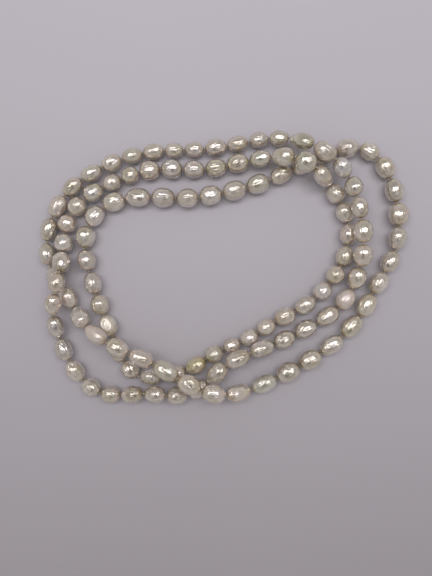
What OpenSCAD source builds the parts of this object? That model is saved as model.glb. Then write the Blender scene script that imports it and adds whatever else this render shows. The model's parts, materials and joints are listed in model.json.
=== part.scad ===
// Endless rope of freshwater pearls, lying in three rounds on a flat surface.
// Units are millimetres and +Z is up. Z = 0 is the surface that the rope lies on.
// Every pearl is a drilled oval of solid nacre. One silk thread runs through all the bores,
// with a small knot in each gap between two pearls, and its two ends meet in a joining knot.

/* [Thread and knots] */
// Diameter of the hole drilled through each pearl
bore_d = 0.7; // [0.68:0.01:0.72]
// Diameter of the silk thread
thread_d = 0.52; // [0.5:0.01:0.54]
// Diameter of a knot. It is wider than the drill hole, so it holds two pearls apart.
knot_d = 0.76; // [0.74:0.01:0.78]
// Length of a knot along the thread
knot_l = 0.36; // [0.34:0.01:0.38]
// Diameter of the knot that closes the loop
joining_knot_d = 0.95; // [0.9:0.01:0.98]

/* [Gaps between pearls] */
// Gap between two pearls where the rope runs straight
straight_gap = 0.45; // [0.44:0.01:0.6]
// Extra gap at the end of each bight, where the rope folds most
swing_gap = 0.3; // [0.3:0.01:0.5]
// Extra gap that the joining knot takes up
joining_gap = 0.5; // [0.45:0.01:0.7]

/* [Pearl shape] */
// Thickness of the pearls, as a multiple of the widths listed below
fullness = 1.04; // [1:0.01:1.04]
// Shape of a pearl's ends: 1 gives an ellipse, and less gives a blunter end
end_power = 0.82; // [0.8:0.01:1]
// Largest egg shape: how much a pearl's thick end outgrows its thin end
egg = 0.08; // [0:0.01:0.1]

/* [Hidden] */
// Each pearl in order along the thread: [x, y, width, lift]. Width is measured across the bore.
// Lift is how far the knot after the pearl is raised where the rope climbs over another round.
// No length is stated, because each pearl fills the thread from one gap to the next.
outer_top = [
    [-80, 6.5, 7.4, 0], [-79.5, 18.5, 7.2, 0], [-75, 28.5, 7.2, 0], [-68.5, 38, 7.4, 0],
    [-59.5, 43.5, 7.6, 0], [-50.5, 48.5, 7.6, 0], [-41.5, 51.5, 7, 0], [-31.5, 53.5, 7, 0],
    [-22.5, 54, 6.8, 0], [-13.5, 54, 6.8, 0], [-4, 55, 7.2, 0], [6.5, 57, 7.2, 0],
    [15.5, 58.5, 7, 0], [25, 59.5, 7, 2], [34, 57, 7.2, 8.3], [43.5, 50.5, 7.8, 8.4]
];
middle_right = [
    [52, 44.5, 7.6, 4.2], [57, 36.5, 8, 6.3], [59, 27, 7.6, 7.3], [60, 16.5, 8.2, 7.2],
    [61, 6, 8.2, 3.8], [59, -3.5, 8.6, 0], [55.5, -13.5, 8.2, 0], [46.5, -21, 8, 0],
    [36.5, -26.5, 8, 0], [27, -31.5, 7.8, 2], [17, -35, 7.4, 6.2], [5.5, -38.5, 7.4, 4.9],
    [-3.5, -46, 8, 0.7], [-11, -54.5, 7.4, 0], [-21, -57.5, 8, 2.6], [-30.5, -54, 7.2, 3.4],
    [-41, -56, 7.8, 0]
];
left_bottom = [
    [-51, -56.5, 7.4, 0], [-60, -53.5, 7.6, 0], [-67, -45.5, 7.6, 0], [-72.5, -36, 7.4, 0],
    [-75.5, -25, 7.4, 3.7], [-75.5, -15.5, 7.2, 7.5]
];
middle_top = [
    [-72, -5.5, 7, 7.2], [-71.5, 3, 8, 1], [-72, 12, 8.2, 0], [-71, 21, 8, 0],
    [-66.5, 28.5, 8, 0], [-59, 35, 7.8, 0], [-50, 39.5, 7.4, 0], [-42.5, 42.5, 7.6, 0],
    [-33.5, 45, 8.4, 0], [-23.5, 45.5, 8.4, 0], [-13.5, 45, 8, 0], [-3.5, 45.5, 8, 0],
    [6, 48, 8.2, 0.3], [16.5, 49.5, 7.4, 2.7], [26, 50, 8, 8.3], [35, 46, 8.6, 8.5]
];
inner_right = [
    [44, 41, 7.2, 1.2], [50, 34.5, 7.8, 0], [55, 26, 7.8, 0], [56.5, 16, 7.6, 0],
    [54.5, 6, 7.6, 0], [50, -2.5, 8.2, 0], [44.5, -9.5, 7.8, 0], [37, -16, 7.8, 0],
    [27, -21, 7.8, 0], [19, -25.5, 7.6, 0], [11.5, -31, 7.4, 0], [3.5, -34, 7.4, 0],
    [-4.5, -37.5, 7.6, 0], [-12, -43, 7.6, 0], [-22.5, -47.5, 7.4, 0], [-33, -48, 7.4, 0],
    [-43, -46.5, 7.6, 0]
];
inner_left = [
    [-48, -35.5, 7.4, 0], [-52, -24.5, 7.8, 0], [-56, -16, 8, 0]
];
inner_top = [
    [-59, -6, 7.6, 0], [-62, 4.5, 8, 0], [-63, 14.5, 8.4, 0], [-58.5, 25, 8.2, 0],
    [-50, 31, 8.2, 0], [-38.5, 33, 8.6, 0], [-27, 32.5, 8.8, 0], [-16.5, 32, 8.6, 0],
    [-6, 33.5, 8.8, 0], [4.5, 35.5, 8.8, 0], [15.5, 38.5, 8.4, 0], [25.5, 42.5, 7.8, 0],
    [35.5, 47.5, 7.8, 0], [45, 50.5, 7.8, 0]
];
outer_right = [
    [55.5, 56, 8.6, 0], [65.5, 54, 7.8, 0], [73, 46.5, 7.8, 0], [76.5, 35.5, 8.2, 0],
    [78.5, 25, 8.8, 0], [78.5, 14, 8.2, 0], [75, 3.5, 7.6, 0], [69, -5.5, 8, 0],
    [64.5, -16, 8, 0], [57.5, -25.5, 8, 0], [48.5, -34, 7.8, 0], [38.5, -40.5, 8.4, 0],
    [29, -45.5, 8.6, 0], [18, -51.5, 8.2, 0.3], [6.5, -55, 7.4, 6.6]
];
outer_bottom = [
    [-4.5, -54.5, 8, 7.8], [-15.5, -50.5, 8.2, 7.9], [-25, -43.5, 8, 6.6], [-36.5, -38.5, 7.6, 8],
    [-46, -34, 7.8, 8.3], [-56, -29, 7.2, 4.3], [-65, -21.5, 8, 0], [-69, -12.5, 7.2, 0],
    [-76.5, -3, 7.2, 0]
];
pearls = concat(outer_top, middle_right, left_bottom, middle_top, inner_right, inner_left,
    inner_top, outer_right, outer_bottom);
count = len(pearls);

// The four bights are the runs of pearls that lie free, so that each can be lifted about its
// two end knots. Each is [first pearl, last pearl].
outer_bight = [2, 12];
left_bight = [34, 38];
inner_bight = [77, 86];
right_bight = [91, 99];
bights = [outer_bight, left_bight, inner_bight, right_bight];
// The runs of thread between the bights. Pearl 114 is pearl 1 again, because the loop is closed.
lying_runs = [[13, 33], [39, 76], [87, 90], [100, 114]];
joining_knot = 113;
// Middle of the rope's outline in the coordinates above. It is moved to the origin.
lay_middle = [-0.2, 1.2];

// Pearls that are nodes of their own, and the pearls that share a node as separate solids
SINGLES = [each [2:12], each [34:38], each [40:55], each [77:86], each [91:99]];
middle_round = [13:33];
inner_round = [56:76];
outer_round = [each [100:113], 1];
crossings = [39, each [87:90]];

THREADS = ["silk_thread", "thread_outer_bight", "thread_left_bight", "thread_inner_bight",
    "thread_right_bight"];
GROUPS = ["pearls_middle_round", "pearls_inner_round", "pearls_outer_round",
    "pearls_at_crossings"];

nacre = [0.93, 0.9, 0.84];
silk = [0.97, 0.96, 0.93];
golden_angle = 137.5;
outline_steps = 20;
round_fn = 48;
thread_fn = 24;
// Radius of the rounded ends of the pearls, about the same on them all
end_curve = 4.3;
joining_knot_l = 0.7;
// How far the thread runs on into a knot
into_knot = 0.08;
// How far a bight's thread stops inside its end pearls, clear of the knot that it swings about
short_of_knot = 0.1;

function pearl_name(i) = str("pearl_", i < 10 ? "00" : i < 100 ? "0" : "", i);
function unit(v) = v / norm(v);

function pearl(i) = pearls[(i - 1 + count) % count];
function place(i) = [pearl(i)[0], pearl(i)[1]] - lay_middle;
function width(i) = pearl(i)[2] * fullness;

// The knot after pearl i. Seen from above it lies on a smooth curve between the two pearls,
// and it is as high as the thicker one needs, plus the lift.
function knot_xy(i) =
    (9 * (place(i) + place(i + 1)) - place(i - 1) - place(i + 2)) / 16;
function knot_z(i) = max(width(i), width(i + 1)) / 2 + pearl(i)[3];
function knot_place(i) = [each knot_xy(i), knot_z(i)];
function axis(i) = unit(knot_place(i) - knot_place(i - 1));
function bend_angle(i) = acos(min(1, axis(i) * axis(i + 1)));

// Whether two pearl numbers mean the same pearl, counted round the closed loop
function same(i, number) = (i - number) % count == 0;
function ends_bight(i) =
    max([for (bight = bights) same(i, bight[0] - 1) || same(i, bight[1]) ? 1 : 0]);
// The gap opens as the bend tightens, so that the rounded ends stay equally far apart
function gap(i) =
    straight_gap
    + 2 * end_curve * (1 / cos(bend_angle(i) / 2) - 1)
    + ends_bight(i) * swing_gap
    + (same(i, joining_knot) ? joining_gap : 0);

// Each pearl fills the thread between the gaps at its two ends
function tail(i) = knot_place(i - 1) + axis(i) * gap(i - 1) / 2;
function tip(i) = knot_place(i) - axis(i) * gap(i) / 2;
function middle(i) = (tail(i) + tip(i)) / 2;
function long(i) = norm(tip(i) - tail(i));

// Half of a pearl's section: the bore wall, and an oval with one end a little thicker
function outline(length, width, egg) =
    let (start = asin(pow(bore_d / width, 1 / end_power)))
    concat(
        [[bore_d / 2, -cos(start) * length / 2]],
        [for (k = [1:outline_steps - 1])
            let (a = start + (180 - 2 * start) * k / outline_steps)
            [pow(sin(a), end_power) * (1 + egg * cos(a) * sin(a) ^ 2) * width / 2,
                -cos(a) * length / 2]],
        [[bore_d / 2, cos(start) * length / 2]]
    );

// Moves a child that stands on Z to a place, and turns it to point in a direction
module aim(place, direction) {
    translate(place)
        rotate([0, acos(direction[2]), atan2(direction[1], direction[0])])
            children();
}

module one_pearl(i) {
    aim(middle(i), axis(i))
        rotate_extrude($fn = round_fn)
            polygon(outline(long(i), width(i), egg * sin(golden_angle * i)));
}

module pearl_group(numbers) {
    color(nacre)
        for (i = numbers)
            one_pearl(i);
}

// How far the thread runs on past a pearl, into the knot after pearl i
function to_knot(i) = (gap(i) - (same(i, joining_knot) ? joining_knot_l : knot_l)) / 2 + into_knot;

// The thread through pearl i, running on past its tail and its tip by the lengths given
module thread_through(i, past_tail, past_tip) {
    aim(middle(i), axis(i))
        translate([0, 0, -long(i) / 2 - past_tail])
            cylinder(h = long(i) + past_tail + past_tip, d = thread_d, $fn = thread_fn);
}

// A knot is a short barrel that halves the bend between the two pearls beside it
module knot(i) {
    joining = same(i, joining_knot);
    aim(knot_place(i), unit(axis(i) + axis(i + 1)))
        cylinder(h = joining ? joining_knot_l : knot_l, d = joining ? joining_knot_d : knot_d,
            center = true, $fn = thread_fn);
}

// Thread that lies with both of its end knots
module lying_thread(run) {
    color(silk) {
        for (i = [run[0]:run[1]])
            thread_through(i, to_knot(i - 1), to_knot(i));
        for (i = [run[0] - 1:run[1]])
            knot(i);
    }
}

// Thread of a bight. Its end knots belong to the lying thread, so it stops short of them.
module bight_thread(run) {
    color(silk) {
        for (i = [run[0]:run[1]])
            thread_through(i,
                i == run[0] ? -short_of_knot : to_knot(i - 1),
                i == run[1] ? -short_of_knot : to_knot(i));
        for (i = [run[0]:run[1] - 1])
            knot(i);
    }
}

module silk_thread() {
    for (run = lying_runs)
        lying_thread(run);
}

silk_thread();
bight_thread(outer_bight);  // thread_outer_bight
bight_thread(left_bight);  // thread_left_bight
bight_thread(inner_bight);  // thread_inner_bight
bight_thread(right_bight);  // thread_right_bight
pearl_group(middle_round);  // pearls_middle_round
pearl_group(inner_round);  // pearls_inner_round
pearl_group(outer_round);  // pearls_outer_round
pearl_group(crossings);  // pearls_at_crossings
for (i = SINGLES)
    pearl_group([i]);
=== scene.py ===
"""Looks of a rope of freshwater pearls that lies in three rounds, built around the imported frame.

Lengths are in metres unless a name ends in _MM. Each pearl is a piece of its own, shaped inside
the plain oval that the CAD gives it. The silk thread is a twisted tube that follows the rope.
"""

import json
import math
import bpy
import numpy as np
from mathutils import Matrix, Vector


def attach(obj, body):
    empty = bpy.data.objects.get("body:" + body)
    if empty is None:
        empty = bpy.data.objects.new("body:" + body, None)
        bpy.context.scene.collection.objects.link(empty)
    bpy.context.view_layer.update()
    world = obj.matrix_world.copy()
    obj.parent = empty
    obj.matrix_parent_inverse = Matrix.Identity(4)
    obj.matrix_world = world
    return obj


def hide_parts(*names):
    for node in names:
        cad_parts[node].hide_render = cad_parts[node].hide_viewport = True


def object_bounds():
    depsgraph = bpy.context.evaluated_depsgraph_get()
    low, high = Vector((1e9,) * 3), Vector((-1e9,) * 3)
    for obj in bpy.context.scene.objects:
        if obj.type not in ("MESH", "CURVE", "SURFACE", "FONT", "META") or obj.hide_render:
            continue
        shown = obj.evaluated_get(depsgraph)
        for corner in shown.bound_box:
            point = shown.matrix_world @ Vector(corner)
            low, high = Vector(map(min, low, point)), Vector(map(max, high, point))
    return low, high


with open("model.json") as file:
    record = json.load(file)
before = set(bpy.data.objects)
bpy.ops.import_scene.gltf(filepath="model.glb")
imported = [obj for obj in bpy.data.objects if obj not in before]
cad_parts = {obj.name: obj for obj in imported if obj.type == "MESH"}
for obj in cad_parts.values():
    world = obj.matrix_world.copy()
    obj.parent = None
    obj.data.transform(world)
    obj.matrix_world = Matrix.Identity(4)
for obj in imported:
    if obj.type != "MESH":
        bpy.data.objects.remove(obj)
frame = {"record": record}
cad_low, cad_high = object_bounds()

MM = 0.001

# ---------------------------------------------------------------- route of the rope
# Each pearl in order along the thread, in mm: (x, y, width, lift of the knot after it)
OUTER_TOP = [
    (-80, 6.5, 7.4, 0), (-79.5, 18.5, 7.2, 0), (-75, 28.5, 7.2, 0), (-68.5, 38, 7.4, 0),
    (-59.5, 43.5, 7.6, 0), (-50.5, 48.5, 7.6, 0), (-41.5, 51.5, 7, 0), (-31.5, 53.5, 7, 0),
    (-22.5, 54, 6.8, 0), (-13.5, 54, 6.8, 0), (-4, 55, 7.2, 0), (6.5, 57, 7.2, 0),
    (15.5, 58.5, 7, 0), (25, 59.5, 7, 2), (34, 57, 7.2, 8.3), (43.5, 50.5, 7.8, 8.4),
]
MIDDLE_RIGHT = [
    (52, 44.5, 7.6, 4.2), (57, 36.5, 8, 6.3), (59, 27, 7.6, 7.3), (60, 16.5, 8.2, 7.2),
    (61, 6, 8.2, 3.8), (59, -3.5, 8.6, 0), (55.5, -13.5, 8.2, 0), (46.5, -21, 8, 0),
    (36.5, -26.5, 8, 0), (27, -31.5, 7.8, 2), (17, -35, 7.4, 6.2), (5.5, -38.5, 7.4, 4.9),
    (-3.5, -46, 8, 0.7), (-11, -54.5, 7.4, 0), (-21, -57.5, 8, 2.6), (-30.5, -54, 7.2, 3.4),
    (-41, -56, 7.8, 0),
]
LEFT_BOTTOM = [
    (-51, -56.5, 7.4, 0), (-60, -53.5, 7.6, 0), (-67, -45.5, 7.6, 0), (-72.5, -36, 7.4, 0),
    (-75.5, -25, 7.4, 3.7), (-75.5, -15.5, 7.2, 7.5),
]
MIDDLE_TOP = [
    (-72, -5.5, 7, 7.2), (-71.5, 3, 8, 1), (-72, 12, 8.2, 0), (-71, 21, 8, 0),
    (-66.5, 28.5, 8, 0), (-59, 35, 7.8, 0), (-50, 39.5, 7.4, 0), (-42.5, 42.5, 7.6, 0),
    (-33.5, 45, 8.4, 0), (-23.5, 45.5, 8.4, 0), (-13.5, 45, 8, 0), (-3.5, 45.5, 8, 0),
    (6, 48, 8.2, 0.3), (16.5, 49.5, 7.4, 2.7), (26, 50, 8, 8.3), (35, 46, 8.6, 8.5),
]
INNER_RIGHT = [
    (44, 41, 7.2, 1.2), (50, 34.5, 7.8, 0), (55, 26, 7.8, 0), (56.5, 16, 7.6, 0),
    (54.5, 6, 7.6, 0), (50, -2.5, 8.2, 0), (44.5, -9.5, 7.8, 0), (37, -16, 7.8, 0),
    (27, -21, 7.8, 0), (19, -25.5, 7.6, 0), (11.5, -31, 7.4, 0), (3.5, -34, 7.4, 0),
    (-4.5, -37.5, 7.6, 0), (-12, -43, 7.6, 0), (-22.5, -47.5, 7.4, 0), (-33, -48, 7.4, 0),
    (-43, -46.5, 7.6, 0),
]
INNER_LEFT = [
    (-48, -35.5, 7.4, 0), (-52, -24.5, 7.8, 0), (-56, -16, 8, 0),
]
INNER_TOP = [
    (-59, -6, 7.6, 0), (-62, 4.5, 8, 0), (-63, 14.5, 8.4, 0), (-58.5, 25, 8.2, 0),
    (-50, 31, 8.2, 0), (-38.5, 33, 8.6, 0), (-27, 32.5, 8.8, 0), (-16.5, 32, 8.6, 0),
    (-6, 33.5, 8.8, 0), (4.5, 35.5, 8.8, 0), (15.5, 38.5, 8.4, 0), (25.5, 42.5, 7.8, 0),
    (35.5, 47.5, 7.8, 0), (45, 50.5, 7.8, 0),
]
OUTER_RIGHT = [
    (55.5, 56, 8.6, 0), (65.5, 54, 7.8, 0), (73, 46.5, 7.8, 0), (76.5, 35.5, 8.2, 0),
    (78.5, 25, 8.8, 0), (78.5, 14, 8.2, 0), (75, 3.5, 7.6, 0), (69, -5.5, 8, 0),
    (64.5, -16, 8, 0), (57.5, -25.5, 8, 0), (48.5, -34, 7.8, 0), (38.5, -40.5, 8.4, 0),
    (29, -45.5, 8.6, 0), (18, -51.5, 8.2, 0.3), (6.5, -55, 7.4, 6.6),
]
OUTER_BOTTOM = [
    (-4.5, -54.5, 8, 7.8), (-15.5, -50.5, 8.2, 7.9), (-25, -43.5, 8, 6.6), (-36.5, -38.5, 7.6, 8),
    (-46, -34, 7.8, 8.3), (-56, -29, 7.2, 4.3), (-65, -21.5, 8, 0), (-69, -12.5, 7.2, 0),
    (-76.5, -3, 7.2, 0),
]
ROUTE = np.array(
    OUTER_TOP + MIDDLE_RIGHT + LEFT_BOTTOM + MIDDLE_TOP + INNER_RIGHT + INNER_LEFT
    + INNER_TOP + OUTER_RIGHT + OUTER_BOTTOM, float)
LAY_MIDDLE_MM = np.array([-0.2, 1.2])
COUNT = len(ROUTE)
BORE_D_MM = 0.7
THREAD_D_MM = 0.52
KNOT_D_MM = 0.76
KNOT_L_MM = 0.36
STRAIGHT_GAP_MM = 0.45
SWING_GAP_MM = 0.3
JOINING_GAP_MM = 0.5
JOINING_KNOT = 113
JOINING_KNOT_D_MM = 0.95
JOINING_KNOT_L_MM = 0.7
# First and last pearl of each stretch that swings
BIGHTS = [(2, 12), (34, 38), (77, 86), (91, 99)]
FULLNESS = 1.04
END_CURVE_MM = 4.3
END_POWER = 0.82
EGG = 0.08
EGG_TURN = math.radians(137.5)

PLACES = ROUTE[:, :2] - LAY_MIDDLE_MM
WIDTHS = ROUTE[:, 2] * FULLNESS


def following(rows, step=1):
    """The same rows, moved so that each index holds the row that comes step pearls later."""
    return np.roll(rows, -step, axis=0)


def unit(vectors):
    vectors = np.asarray(vectors, float)
    return vectors / np.linalg.norm(vectors, axis=-1, keepdims=True)


# The knot after each pearl: on a smooth curve seen from above, and as high as the CAD lifts it
KNOTS = np.column_stack([
    (9 * (PLACES + following(PLACES)) - following(PLACES, -1) - following(PLACES, 2)) / 16,
    np.maximum(WIDTHS, following(WIDTHS)) / 2 + ROUTE[:, 3],
])
KNOTS_BEFORE = following(KNOTS, -1)
AXES = unit(KNOTS - KNOTS_BEFORE)
BEND_ANGLES = np.arccos(np.clip((AXES * following(AXES)).sum(axis=1), -1, 1))

# The gap after each pearl opens as the bend tightens, and at the places where the rope folds
GAPS = STRAIGHT_GAP_MM + 2 * END_CURVE_MM * (1 / np.cos(BEND_ANGLES / 2) - 1)
for first, last in BIGHTS:
    GAPS[[first - 2, last - 1]] += SWING_GAP_MM
GAPS[JOINING_KNOT - 1] += JOINING_GAP_MM
TAILS = KNOTS_BEFORE + AXES * following(GAPS, -1)[:, None] / 2
TIPS = KNOTS - AXES * GAPS[:, None] / 2
MIDDLES = (TAILS + TIPS) / 2
LENGTHS = np.linalg.norm(TIPS - TAILS, axis=1)

# Which CAD node and body each pearl belongs to. Pearls are numbered from 1.
GROUPS = {
    "pearls_middle_round": list(range(13, 34)),
    "pearls_inner_round": list(range(56, 77)),
    "pearls_outer_round": list(range(100, 114)) + [1],
    "pearls_at_crossings": [39, 87, 88, 89, 90],
}
NODE_OF = {i: node for node, numbers in GROUPS.items() for i in numbers}
# Thread pieces: (piece, CAD node, first pearl, last pearl, whether the end knots are its own)
THREADS = [
    ("silk_thread_middle_round", "silk_thread", 13, 33, True),
    ("silk_thread_inner_round", "silk_thread", 39, 76, True),
    ("silk_thread_crossing", "silk_thread", 87, 90, True),
    ("silk_thread_outer_round", "silk_thread", 100, 114, True),
    ("silk_thread_outer_bight", "thread_outer_bight", 2, 12, False),
    ("silk_thread_left_bight", "thread_left_bight", 34, 38, False),
    ("silk_thread_inner_bight", "thread_inner_bight", 77, 86, False),
    ("silk_thread_right_bight", "thread_right_bight", 91, 99, False),
]
BODY_OF_NODE = {
    node: body
    for body, nodes in frame["record"]["behaviour"]["bodies"].items() for node in nodes
}


# ---------------------------------------------------------------- materials
def new_material(name):
    mat = bpy.data.materials.new(name)
    mat.use_nodes = True
    nodes = mat.node_tree.nodes
    nodes.clear()
    out = nodes.new("ShaderNodeOutputMaterial")
    shader = nodes.new("ShaderNodeBsdfPrincipled")
    mat.node_tree.links.new(shader.outputs["BSDF"], out.inputs["Surface"])
    return mat, mat.node_tree, shader


def noise_node(tree, coords, scale, detail, roughness=0.5, distortion=0.0):
    node = tree.nodes.new("ShaderNodeTexNoise")
    node.inputs["Scale"].default_value = scale
    node.inputs["Detail"].default_value = detail
    node.inputs["Roughness"].default_value = roughness
    node.inputs["Distortion"].default_value = distortion
    tree.links.new(coords, node.inputs["Vector"])
    return node.outputs["Fac"]


def map_range(tree, value, low, high, out_low, out_high):
    node = tree.nodes.new("ShaderNodeMapRange")
    ends = {"From Min": low, "From Max": high, "To Min": out_low, "To Max": out_high}
    for socket, number in ends.items():
        node.inputs[socket].default_value = number
    tree.links.new(value, node.inputs["Value"])
    return node.outputs["Result"]


def mix_colour(tree, factor, a, b, blend="MIX"):
    node = tree.nodes.new("ShaderNodeMix")
    node.data_type = "RGBA"
    node.blend_type = blend
    if isinstance(factor, float):
        node.inputs["Factor"].default_value = factor
    else:
        tree.links.new(factor, node.inputs["Factor"])
    for socket, value in ((node.inputs["A"], a), (node.inputs["B"], b)):
        if isinstance(value, tuple):
            socket.default_value = value
        else:
            tree.links.new(value, socket)
    return node.outputs["Result"]


def add_bump(tree, shader, height, distance, strength):
    node = tree.nodes.new("ShaderNodeBump")
    node.inputs["Distance"].default_value = distance
    node.inputs["Strength"].default_value = strength
    tree.links.new(height, node.inputs["Height"])
    tree.links.new(node.outputs["Normal"], shader.inputs["Normal"])
    tree.links.new(node.outputs["Normal"], shader.inputs["Coat Normal"])


# Fine ridges run along the bore, so along it they vary only this much as fast as across it
RIDGE_SHARE_ALONG = 0.28
RIDGES_PER_MM = 1.0
RIDGE_HEIGHT = 0.00036
DEEP_SHADE = (0.78, 0.73, 0.62, 1.0)
BLUSH = (0.86, 0.73, 0.69, 1.0)
BLEED_RADIUS = (0.0016, 0.0011, 0.0008)


def nacre(name, metallic, rough_low, rough_high, coat):
    """Nacre: cloudy off-white with each pearl's own tint, a soft silvery sheen and a glassy skin."""
    mat, tree, shader = new_material(name)
    coords = tree.nodes.new("ShaderNodeTexCoord").outputs["Object"]
    # The tint attribute holds each pearl's body colour, with painted shade darkening it near the
    # bore ends
    tint = tree.nodes.new("ShaderNodeVertexColor")
    tint.layer_name = "tint"
    cloud = noise_node(tree, coords, scale=200.0, detail=2.0, distortion=0.6)
    cloud = map_range(tree, cloud, low=0.35, high=0.68, out_low=0.0, out_high=1.0)
    deep = mix_colour(tree, 1.0, tint.outputs["Color"], DEEP_SHADE, "MULTIPLY")
    colour = mix_colour(tree, cloud, tint.outputs["Color"], deep)
    blush = noise_node(tree, coords, scale=120.0, detail=1.0)
    blush = map_range(tree, blush, low=0.45, high=0.75, out_low=0.0, out_high=0.5)
    colour = mix_colour(tree, blush, colour, BLUSH)
    tree.links.new(colour, shader.inputs["Base Color"])
    polish = noise_node(tree, coords, scale=300.0, detail=1.0)
    polish = map_range(tree, polish, low=0.3, high=0.7, out_low=rough_low, out_high=rough_high)
    tree.links.new(polish, shader.inputs["Roughness"])
    shader.inputs["Metallic"].default_value = metallic
    shader.inputs["Specular IOR Level"].default_value = 0.7
    shader.inputs["Subsurface Weight"].default_value = 0.25
    shader.inputs["Subsurface Radius"].default_value = BLEED_RADIUS
    shader.inputs["Subsurface Scale"].default_value = 1.0
    shader.inputs["Coat Weight"].default_value = coat
    shader.inputs["Coat Roughness"].default_value = 0.06
    shader.inputs["Coat IOR"].default_value = 2.0
    own_place = tree.nodes.new("ShaderNodeAttribute")
    own_place.attribute_name = "own_place"
    stretched = tree.nodes.new("ShaderNodeVectorMath")
    stretched.operation = "MULTIPLY"
    stretched.inputs[1].default_value = (1.0, 1.0, RIDGE_SHARE_ALONG)
    tree.links.new(own_place.outputs["Vector"], stretched.inputs[0])
    ridges = noise_node(tree, stretched.outputs["Vector"], RIDGES_PER_MM, detail=1.5, distortion=0.5)
    add_bump(tree, shader, ridges, distance=RIDGE_HEIGHT, strength=1.0)
    return mat


SILK_DARK = (0.50, 0.45, 0.37, 1.0)
SILK_LIGHT = (0.66, 0.62, 0.54, 1.0)


def silk():
    """Twisted silk: off-white and soft, with a fine fibrous grain."""
    mat, tree, shader = new_material("silk")
    coords = tree.nodes.new("ShaderNodeTexCoord").outputs["Object"]
    fibre = noise_node(tree, coords, scale=6000.0, detail=2.0, roughness=0.6)
    tree.links.new(mix_colour(tree, fibre, SILK_DARK, SILK_LIGHT), shader.inputs["Base Color"])
    dull = map_range(tree, fibre, low=0.3, high=0.7, out_low=0.5, out_high=0.75)
    tree.links.new(dull, shader.inputs["Roughness"])
    shader.inputs["Sheen Weight"].default_value = 0.4
    shader.inputs["Sheen Roughness"].default_value = 0.4
    add_bump(tree, shader, fibre, distance=0.00004, strength=0.6)
    return mat


# Painted light: the card goes from a painted-shade colour at -Y to a painted-light colour at +Y over
# # this distance either side of the middle, standing in for the fall-off of the lamps
LIGHT_FADE_REACH = 0.14
CARD_PAINTED_SHADE = (0.45, 0.42, 0.45, 1.0)
CARD_PAINTED_LIGHT = (0.67, 0.64, 0.70, 1.0)
CARD_CLOUD = (0.56, 0.52, 0.53, 1.0)


def paper():
    """The pale surface under the rope: smooth card with painted light, lighter towards +Y and darker
    towards -Y.
    """
    mat, tree, shader = new_material("pale_card")
    coords = tree.nodes.new("ShaderNodeTexCoord").outputs["Object"]
    split = tree.nodes.new("ShaderNodeSeparateXYZ")
    tree.links.new(coords, split.inputs["Vector"])
    # Painted light and shade: the card is darker towards -Y and lighter towards +Y
    painted_light_fade = map_range(tree, split.outputs["Y"], -LIGHT_FADE_REACH, LIGHT_FADE_REACH, out_low=0.0, out_high=1.0)
    colour = mix_colour(tree, painted_light_fade, CARD_PAINTED_SHADE, CARD_PAINTED_LIGHT)
    cloud = noise_node(tree, coords, scale=7.0, detail=2.0)
    cloud = map_range(tree, cloud, low=0.3, high=0.7, out_low=0.0, out_high=0.1)
    colour = mix_colour(tree, cloud, colour, CARD_CLOUD)
    tree.links.new(colour, shader.inputs["Base Color"])
    grain = noise_node(tree, coords, scale=900.0, detail=2.0, roughness=0.6)
    dull = map_range(tree, grain, low=0.3, high=0.7, out_low=0.5, out_high=0.6)
    tree.links.new(dull, shader.inputs["Roughness"])
    shader.inputs["Specular IOR Level"].default_value = 0.3
    add_bump(tree, shader, grain, distance=0.0001, strength=0.15)
    return mat


NACRE_BRIGHT = nacre("nacre_bright", metallic=0.68, rough_low=0.1, rough_high=0.18, coat=1.0)
NACRE_SOFT = nacre("nacre_soft", metallic=0.58, rough_low=0.13, rough_high=0.24, coat=0.8)
NACRE_MATTE = nacre("nacre_matte", metallic=0.4, rough_low=0.28, rough_high=0.42, coat=0.25)
SILK = silk()

# Body colours of freshwater pearls: silvery white, cream, rosy, greenish and lilac.
# Each pearl is a blend that leans to one or two of them, and is a little darker or lighter.
TINTS = np.array([
    (0.83, 0.77, 0.70), (0.82, 0.75, 0.62), (0.84, 0.74, 0.67), (0.77, 0.75, 0.63),
    (0.81, 0.76, 0.74),
])
TINT_EVENNESS = 0.5
TINT_BRIGHTNESS = (0.88, 1.01)
# Each pearl takes its pattern of ridges this much further on in the noise than the last one
OWN_PATTERN_STEP_MM = 23.0
# The nacre is a little darker and browner around the mouths of the bore, from this share of the
# # way between the middle and the end: partly the real stain of the drill hole, partly painted shade
# # standing in for the dim crevices where neighbouring pearls meet
END_STAIN_AND_SHADE = np.array([0.78, 0.72, 0.59])
STAIN_AND_SHADE_FROM = 0.55
STAIN_AND_SHADE_POWER = 1.5
SPECIAL_TINTS = {
    17: (0.80, 0.78, 0.82), 23: (0.80, 0.72, 0.69), 69: (0.74, 0.67, 0.46), 74: (0.82, 0.76, 0.70),
    103: (0.78, 0.78, 0.72), 104: (0.84, 0.76, 0.69), 110: (0.80, 0.73, 0.71),
}
# Pearls that stand out: matte ones, very bright ones, and the one that lies end up
MATTE = {23, 110}
VERY_BRIGHT = {2, 10, 19, 55, 93, 100, 102, 106}
BRIGHT_SHARE = 0.45
END_UP = 74


# ---------------------------------------------------------------- pearls
LAT_STEPS = 34
LON_STEPS = 44
FIRST_SEED = 4000

# Depths are shares of the radius. A pair is the least and the most that a pearl can draw. A pitch
# is how fast the waves follow each other over the sphere of directions, and so how fine they are.
SQUEEZE = (0.0, 0.075)
LUMP_DEPTH, LUMP_WAVES, LUMP_PITCH = (0.03, 0.055), 7, (1.5, 3.4)
BUMP_DEPTH, BUMP_WAVES, BUMP_PITCH = (0.014, 0.028), 9, (4.5, 9.0)
RIDGE_DEPTH, RIDGE_WAVES, RIDGE_PITCH = (0.015, 0.035), 9, (8.0, 14.0)
RIDGE_STRETCH = np.array([1, 1, RIDGE_SHARE_ALONG])
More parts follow.
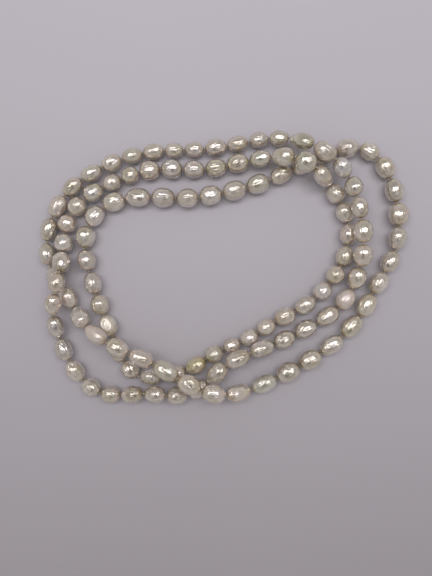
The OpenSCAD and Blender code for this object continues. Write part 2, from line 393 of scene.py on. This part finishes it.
# Rings around the bore, on this share of the pearls
RINGED_SHARE = 0.3
RING_PITCH, RING_DEPTH, RING_PHASE = (9, 15), (0.004, 0.011), (0, 6)
MOST_DENTS = 3
DENT_DEPTH, DENT_RADIUS = (0.015, 0.05), (0.18, 0.4)
# A drop shape, on this share of the pearls: one half narrows towards its end
TAPERED_SHARE = 0.25
TAPER_DEPTH, TAPER_FROM, TAPER_POWER = 0.06, 0.1, 1.5
# The pearl that lies end up has a flat face with rings in it. Radii are in radians.
FACE_DIRECTION = (0.05, 1.0, 0.25)
FACE_DEPTH, FACE_RADIUS, FACE_DISHING = 0.16, 0.62, 0.45
FACE_RING_DEPTH, FACE_RING_PITCH, FACE_RING_REACH = 0.022, 15, 0.8
# The deviations are moved outward by this share of their mean, but never further out than
# MOST_OUTWARD, and they fade out near the bore
RECENTRE = 0.4
MOST_OUTWARD = 0.01
FADE_WIDTH = 0.25
LENGTHWISE_SHARE = 0.3


def plane_waves(directions, rng, count, low, high):
    """A smooth random field over the sphere of directions, from 0 down to -1."""
    waves = unit(rng.normal(size=(count, 3))) * rng.uniform(low, high, (count, 1))
    phases = rng.uniform(0, 2 * math.pi, count)
    field = np.sin(directions @ waves.T + phases).sum(axis=1)
    return (field - field.max()) / (field.max() - field.min())


def dent(directions, centre, radius):
    """1 at a centre direction and fading to 0 about a radius away, in radians."""
    away = np.arccos(np.clip(directions @ centre, -1, 1))
    return np.exp(-(away / radius) ** 2)


def end_face(directions):
    """How far in the pearl that lies end up goes: a dished flat with rings in it."""
    away = np.arccos(np.clip(directions @ unit(np.array(FACE_DIRECTION)), -1, 1))
    dishing = (1 - FACE_DISHING * (away / FACE_RADIUS) ** 2).clip(0, 1)
    flat = FACE_DEPTH * np.exp(-(away / FACE_RADIUS) ** 4) * dishing
    rings = FACE_RING_DEPTH * (1 + np.cos(away * FACE_RING_PITCH))
    return flat + rings * np.exp(-(away / FACE_RING_REACH) ** 4)


def local_frame(axis):
    """Two directions across the bore, the second as near to straight up as it can be."""
    side = unit(np.cross([0, 0, 1], axis))
    return side, np.cross(axis, side)


def pearl_shape(number, rng):
    """Vertices in the pearl's own frame (Z along the bore, Y as near up as it goes), and faces.
    The deviations go mostly inward from the plain oval, and fade out at the mouths of the bore."""
    width, length = WIDTHS[number - 1], LENGTHS[number - 1]
    start = math.asin((BORE_D_MM / width) ** (1 / END_POWER))
    a = np.linspace(start, math.pi - start, LAT_STEPS)
    egg = EGG * math.sin(EGG_TURN * number)
    radius = np.sin(a) ** END_POWER * (1 + egg * np.cos(a) * np.sin(a) ** 2) * width / 2
    radius[0] = radius[-1] = BORE_D_MM / 2
    height = -np.cos(a) * length / 2
    turn = np.arange(LON_STEPS) * 2 * math.pi / LON_STEPS
    aa, tt = np.meshgrid(a, turn, indexing="ij")
    directions = np.column_stack([
        (np.sin(aa) * np.cos(tt)).ravel(), (np.sin(aa) * np.sin(tt)).ravel(), -np.cos(aa).ravel(),
    ])
    fade = np.clip((np.sin(aa.ravel()) - math.sin(start)) / FADE_WIDTH, 0, 1)

    squeeze = rng.uniform(*SQUEEZE)
    lean = rng.uniform(0, 2 * math.pi)
    change = -squeeze * (1 - np.cos(2 * (tt.ravel() - lean))) / 2
    change += rng.uniform(*LUMP_DEPTH) * plane_waves(directions, rng, LUMP_WAVES, *LUMP_PITCH)
    change += rng.uniform(*BUMP_DEPTH) * plane_waves(directions, rng, BUMP_WAVES, *BUMP_PITCH)
    stretched = directions * RIDGE_STRETCH
    change += rng.uniform(*RIDGE_DEPTH) * plane_waves(stretched, rng, RIDGE_WAVES, *RIDGE_PITCH)
    if rng.random() < RINGED_SHARE:
        pitch = rng.uniform(*RING_PITCH)
        depth = rng.uniform(*RING_DEPTH)
        change -= depth * (1 + np.cos(pitch * directions[:, 2] + rng.uniform(*RING_PHASE))) / 2
    for _ in range(rng.integers(0, MOST_DENTS + 1)):
        centre = unit(rng.normal(size=3))
        change -= rng.uniform(*DENT_DEPTH) * dent(directions, centre, rng.uniform(*DENT_RADIUS))
    if rng.random() < TAPERED_SHARE:
        end = 1 if rng.random() < 0.5 else -1
        towards_end = np.clip(end * directions[:, 2] - TAPER_FROM, 0, 1)
        change -= TAPER_DEPTH * towards_end ** TAPER_POWER
    if number == END_UP:
        change -= end_face(directions)
    change = np.minimum(change - RECENTRE * change.mean(), MOST_OUTWARD) * fade

    radii = np.repeat(radius, LON_STEPS) * (1 + change)
    heights = np.repeat(height, LON_STEPS) * (1 + LENGTHWISE_SHARE * change)
    vertices = np.column_stack([radii * np.cos(tt.ravel()), radii * np.sin(tt.ravel()), heights])

    # The last ring joins back to the first, so that the bore has a wall
    faces = []
    for k in range(LAT_STEPS):
        ring, next_ring = k * LON_STEPS, (k + 1) % LAT_STEPS * LON_STEPS
        for j in range(LON_STEPS):
            n = (j + 1) % LON_STEPS
            faces.append((ring + j, ring + n, next_ring + n, next_ring + j))
    return vertices, faces


def mesh_piece(name, vertices, faces, material):
    mesh = bpy.data.meshes.new(name)
    mesh.from_pydata([tuple(v) for v in vertices], [], faces)
    mesh.materials.append(material)
    mesh.polygons.foreach_set("use_smooth", [True] * len(faces))
    mesh.validate()
    mesh.update()
    piece = bpy.data.objects.new(name, mesh)
    bpy.context.scene.collection.objects.link(piece)
    return piece


def make_pearl(number):
    rng = np.random.default_rng(FIRST_SEED + number)
    shape, faces = pearl_shape(number, rng)
    side, up = local_frame(AXES[number - 1])
    turned = np.column_stack([side, up, AXES[number - 1]])
    vertices = np.clip((shape @ turned.T + MIDDLES[number - 1]) * MM, cad_low, cad_high)
    if number in MATTE or number == END_UP:
        material = NACRE_MATTE
    elif number in VERY_BRIGHT:
        material = NACRE_BRIGHT
    else:
        material = NACRE_BRIGHT if rng.random() < BRIGHT_SHARE else NACRE_SOFT
    node = NODE_OF.get(number, f"pearl_{number:03d}")
    piece = mesh_piece(f"nacre_pearl_{number:03d}", vertices, faces, material)
    weights = rng.dirichlet([TINT_EVENNESS] * len(TINTS))
    tint = weights @ TINTS * rng.uniform(*TINT_BRIGHTNESS)
    tint = np.array(SPECIAL_TINTS.get(number, tint))
    # Painted shade together with the real bore stain: the ends of each pearl, where neighbours meet,
    # are darkened and browned
    along = np.abs(shape[:, 2]) / (LENGTHS[number - 1] / 2)
    stain_and_shade = (np.clip((along - STAIN_AND_SHADE_FROM) / (1 - STAIN_AND_SHADE_FROM), 0, 1) ** STAIN_AND_SHADE_POWER)[:, None]
    shades = np.ones((len(vertices), 4))
    shades[:, :3] = tint * (1 - stain_and_shade + stain_and_shade * END_STAIN_AND_SHADE)
    colours = piece.data.color_attributes.new("tint", "FLOAT_COLOR", "POINT")
    colours.data.foreach_set("color", shades.astype(np.float32).ravel())
    own_place = piece.data.attributes.new("own_place", "FLOAT_VECTOR", "POINT")
    places = shape + number * OWN_PATTERN_STEP_MM
    own_place.data.foreach_set("vector", places.astype(np.float32).ravel())
    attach(piece, BODY_OF_NODE[node])
    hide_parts(node)


for pearl_number in range(1, COUNT + 1):
    make_pearl(pearl_number)

# ---------------------------------------------------------------- silk thread
THREAD_SIDES = 12
PLIES = 2
TWIST_PITCH_MM = 1.6
GROOVE_DEPTH = 0.10
SHORT_OF_KNOT_MM = 0.1
BORE_STEP_MM = 1.0
LEAST_BORE_STEPS = 4
KNOT_STEPS = 6
# A stretch of thread along a bore ends this far before the first station of the knot
CLEAR_OF_KNOT_MM = 0.03


def knot_size(number):
    """Length and diameter of the knot after a pearl."""
    if number == JOINING_KNOT:
        return JOINING_KNOT_L_MM, JOINING_KNOT_D_MM
    return KNOT_L_MM, KNOT_D_MM


def knot_stations(number, before, after):
    """Stations through a knot, which swells in its middle and turns from one axis to the other."""
    length, diameter = knot_size(number)
    stations = []
    for k in range(KNOT_STEPS + 1):
        through = 2 * k / KNOT_STEPS - 1
        direction = before if through < 0 else after
        swell = (1 - abs(through) ** 3) * (diameter - THREAD_D_MM)
        place = KNOTS[(number - 1) % COUNT] + direction * through * length / 2
        stations.append((place, THREAD_D_MM + swell))
    return stations


def bore_stations(number, past_tail, past_tip):
    """Stations through a pearl, and on past its two ends towards the knots."""
    k = (number - 1) % COUNT
    start = TAILS[k] - AXES[k] * past_tail
    end = TIPS[k] + AXES[k] * past_tip
    steps = max(LEAST_BORE_STEPS, round(np.linalg.norm(end - start) / BORE_STEP_MM))
    return [(start + (end - start) * n / steps, THREAD_D_MM) for n in range(steps + 1)]


def thread_stations(first, last, own_end_knots):
    """Centre points along a stretch of thread, each with the thread's diameter there."""
    def past(knot):
        """How far the thread goes past the pearl's end towards this knot."""
        if knot in (first - 1, last) and not own_end_knots:
            return -SHORT_OF_KNOT_MM
        return (GAPS[(knot - 1) % COUNT] - knot_size(knot)[0]) / 2 - CLEAR_OF_KNOT_MM

    stations = []
    if own_end_knots:
        first_axis = AXES[first - 1]
        stations += knot_stations(first - 1, first_axis, first_axis)
    for number in range(first, last + 1):
        axis = AXES[(number - 1) % COUNT]
        stations += bore_stations(number, past(number - 1), past(number))
        if number < last:
            stations += knot_stations(number, axis, AXES[number % COUNT])
        elif own_end_knots:
            stations += knot_stations(number, axis, axis)
    return stations


def make_thread(name, node, first, last, own_end_knots):
    stations = thread_stations(first, last, own_end_knots)
    points = np.array([place for place, _ in stations])
    tangents = unit(np.gradient(points, axis=0))
    travelled = np.concatenate([[0], np.cumsum(np.linalg.norm(np.diff(points, axis=0), axis=1))])
    side = unit(np.cross([0, 0, 1], tangents))
    up = np.cross(tangents, side)
    around = np.arange(THREAD_SIDES) * 2 * math.pi / THREAD_SIDES
    rings = []
    for k, (place, diameter) in enumerate(stations):
        twist = 2 * math.pi * travelled[k] / TWIST_PITCH_MM
        groove = GROOVE_DEPTH * np.abs(np.sin(PLIES / 2 * (around - twist)))
        radius = diameter / 2 * (1 - groove)
        rings.append(place + radius[:, None] * (
            np.cos(around)[:, None] * side[k] + np.sin(around)[:, None] * up[k]))
    vertices = np.concatenate(rings)
    faces = []
    for k in range(len(rings) - 1):
        for j in range(THREAD_SIDES):
            n = (j + 1) % THREAD_SIDES
            faces.append((k * THREAD_SIDES + j, k * THREAD_SIDES + n,
                          (k + 1) * THREAD_SIDES + n, (k + 1) * THREAD_SIDES + j))
    faces.append(tuple(reversed(range(THREAD_SIDES))))
    faces.append(tuple(range(len(vertices) - THREAD_SIDES, len(vertices))))
    piece = mesh_piece(name, vertices * MM, faces, SILK)
    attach(piece, BODY_OF_NODE[node])
    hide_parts(node)


for thread in THREADS:
    make_thread(*thread)

# ---------------------------------------------------------------- floor, lights and camera
HALF_FLOOR = 1.5
FLOOR_MIDDLE = Vector((0, 0, 0))
# The floor stays clear of the undersides of the pearls by this much
FLOOR_DROP = 0.00003
CAMERA_HEIGHT = 0.2
LOOK_AT = Vector((-0.0034, -0.0093, 0.0))
# What the camera sees from top to bottom, at the height of the pearls' middles
VIEW_HEIGHT = 0.2592
PEARL_HEIGHT = 0.004
SENSOR_MM = 36.0


def flat_piece(name, x_low, x_high, y_low, y_high, material):
    corners = [(x_low, y_low, 0), (x_high, y_low, 0), (x_high, y_high, 0), (x_low, y_high, 0)]
    return mesh_piece(name, corners, [(0, 1, 2, 3)], material)


floor = flat_piece("floor", -HALF_FLOOR, HALF_FLOOR, -HALF_FLOOR, HALF_FLOOR, paper())
floor.location.z = -FLOOR_DROP


def area_light(name, place, width, depth, power, colour):
    """A rectangular light that faces the middle of the floor."""
    data = bpy.data.lights.new(name, "AREA")
    data.shape = "RECTANGLE"
    data.size, data.size_y = width, depth
    data.energy = power
    data.color = colour
    light = bpy.data.objects.new(name, data)
    light.location = place
    light.rotation_euler = (FLOOR_MIDDLE - Vector(place)).to_track_quat("-Z", "Y").to_euler()
    bpy.context.scene.collection.objects.link(light)


area_light("ceiling", (0.0, 0.02, 0.7), width=1.1, depth=0.75, power=0.9, colour=(1.0, 0.99, 0.99))
area_light("lamp", (-0.02, 0.15, 0.65), width=0.9, depth=0.2, power=1.9, colour=(1.0, 0.99, 1.0))

# The room is light near the horizon and dark overhead
HORIZON = (0.60, 0.58, 0.56, 1)
OVERHEAD = (0.15, 0.15, 0.16, 1)
world = bpy.data.worlds.new("soft_room")
bpy.context.scene.world = world
world.use_nodes = True
tree = world.node_tree
tree.nodes.clear()
world_out = tree.nodes.new("ShaderNodeOutputWorld")
background = tree.nodes.new("ShaderNodeBackground")
direction = tree.nodes.new("ShaderNodeTexCoord")
split = tree.nodes.new("ShaderNodeSeparateXYZ")
ramp = tree.nodes.new("ShaderNodeValToRGB")
tree.links.new(direction.outputs["Generated"], split.inputs["Vector"])
tree.links.new(split.outputs["Z"], ramp.inputs["Fac"])
for element, position, colour in zip(ramp.color_ramp.elements, (0.0, 1.0), (HORIZON, OVERHEAD)):
    element.position = position
    element.color = colour
tree.links.new(ramp.outputs["Color"], background.inputs["Color"])
background.inputs["Strength"].default_value = 1.0
tree.links.new(background.outputs["Background"], world_out.inputs["Surface"])

# The camera and whoever holds it show as a dark patch in every pearl
DARK_CARD_WIDTH, DARK_CARD_DEPTH = 0.085, 0.17
DARK_CARD_FORWARD = 0.015
DARK_CARD_ABOVE_CAMERA = 0.012
dark_mat, _, dark_shader = new_material("dark_card")
dark_shader.inputs["Base Color"].default_value = (0.03, 0.03, 0.035, 1)
dark_card = flat_piece(
    "dark_card", -DARK_CARD_WIDTH / 2, DARK_CARD_WIDTH / 2, -DARK_CARD_DEPTH, 0, dark_mat)
dark_card.location = (
    LOOK_AT.x, LOOK_AT.y + DARK_CARD_FORWARD, CAMERA_HEIGHT + DARK_CARD_ABOVE_CAMERA)
dark_card.visible_camera = False
dark_card.visible_shadow = False
dark_card.visible_diffuse = False

camera_data = bpy.data.cameras.new("camera")
camera = bpy.data.objects.new("camera", camera_data)
bpy.context.scene.collection.objects.link(camera)
camera_data.sensor_width = SENSOR_MM
camera_data.lens = SENSOR_MM * (CAMERA_HEIGHT - PEARL_HEIGHT) / VIEW_HEIGHT
camera_data.clip_start, camera_data.clip_end = 0.01, 20.0
camera.location = (LOOK_AT.x, LOOK_AT.y, CAMERA_HEIGHT)
camera.rotation_euler = (0, 0, 0)
bpy.context.scene.camera = camera
bpy.context.scene.view_settings.view_transform = "Standard"
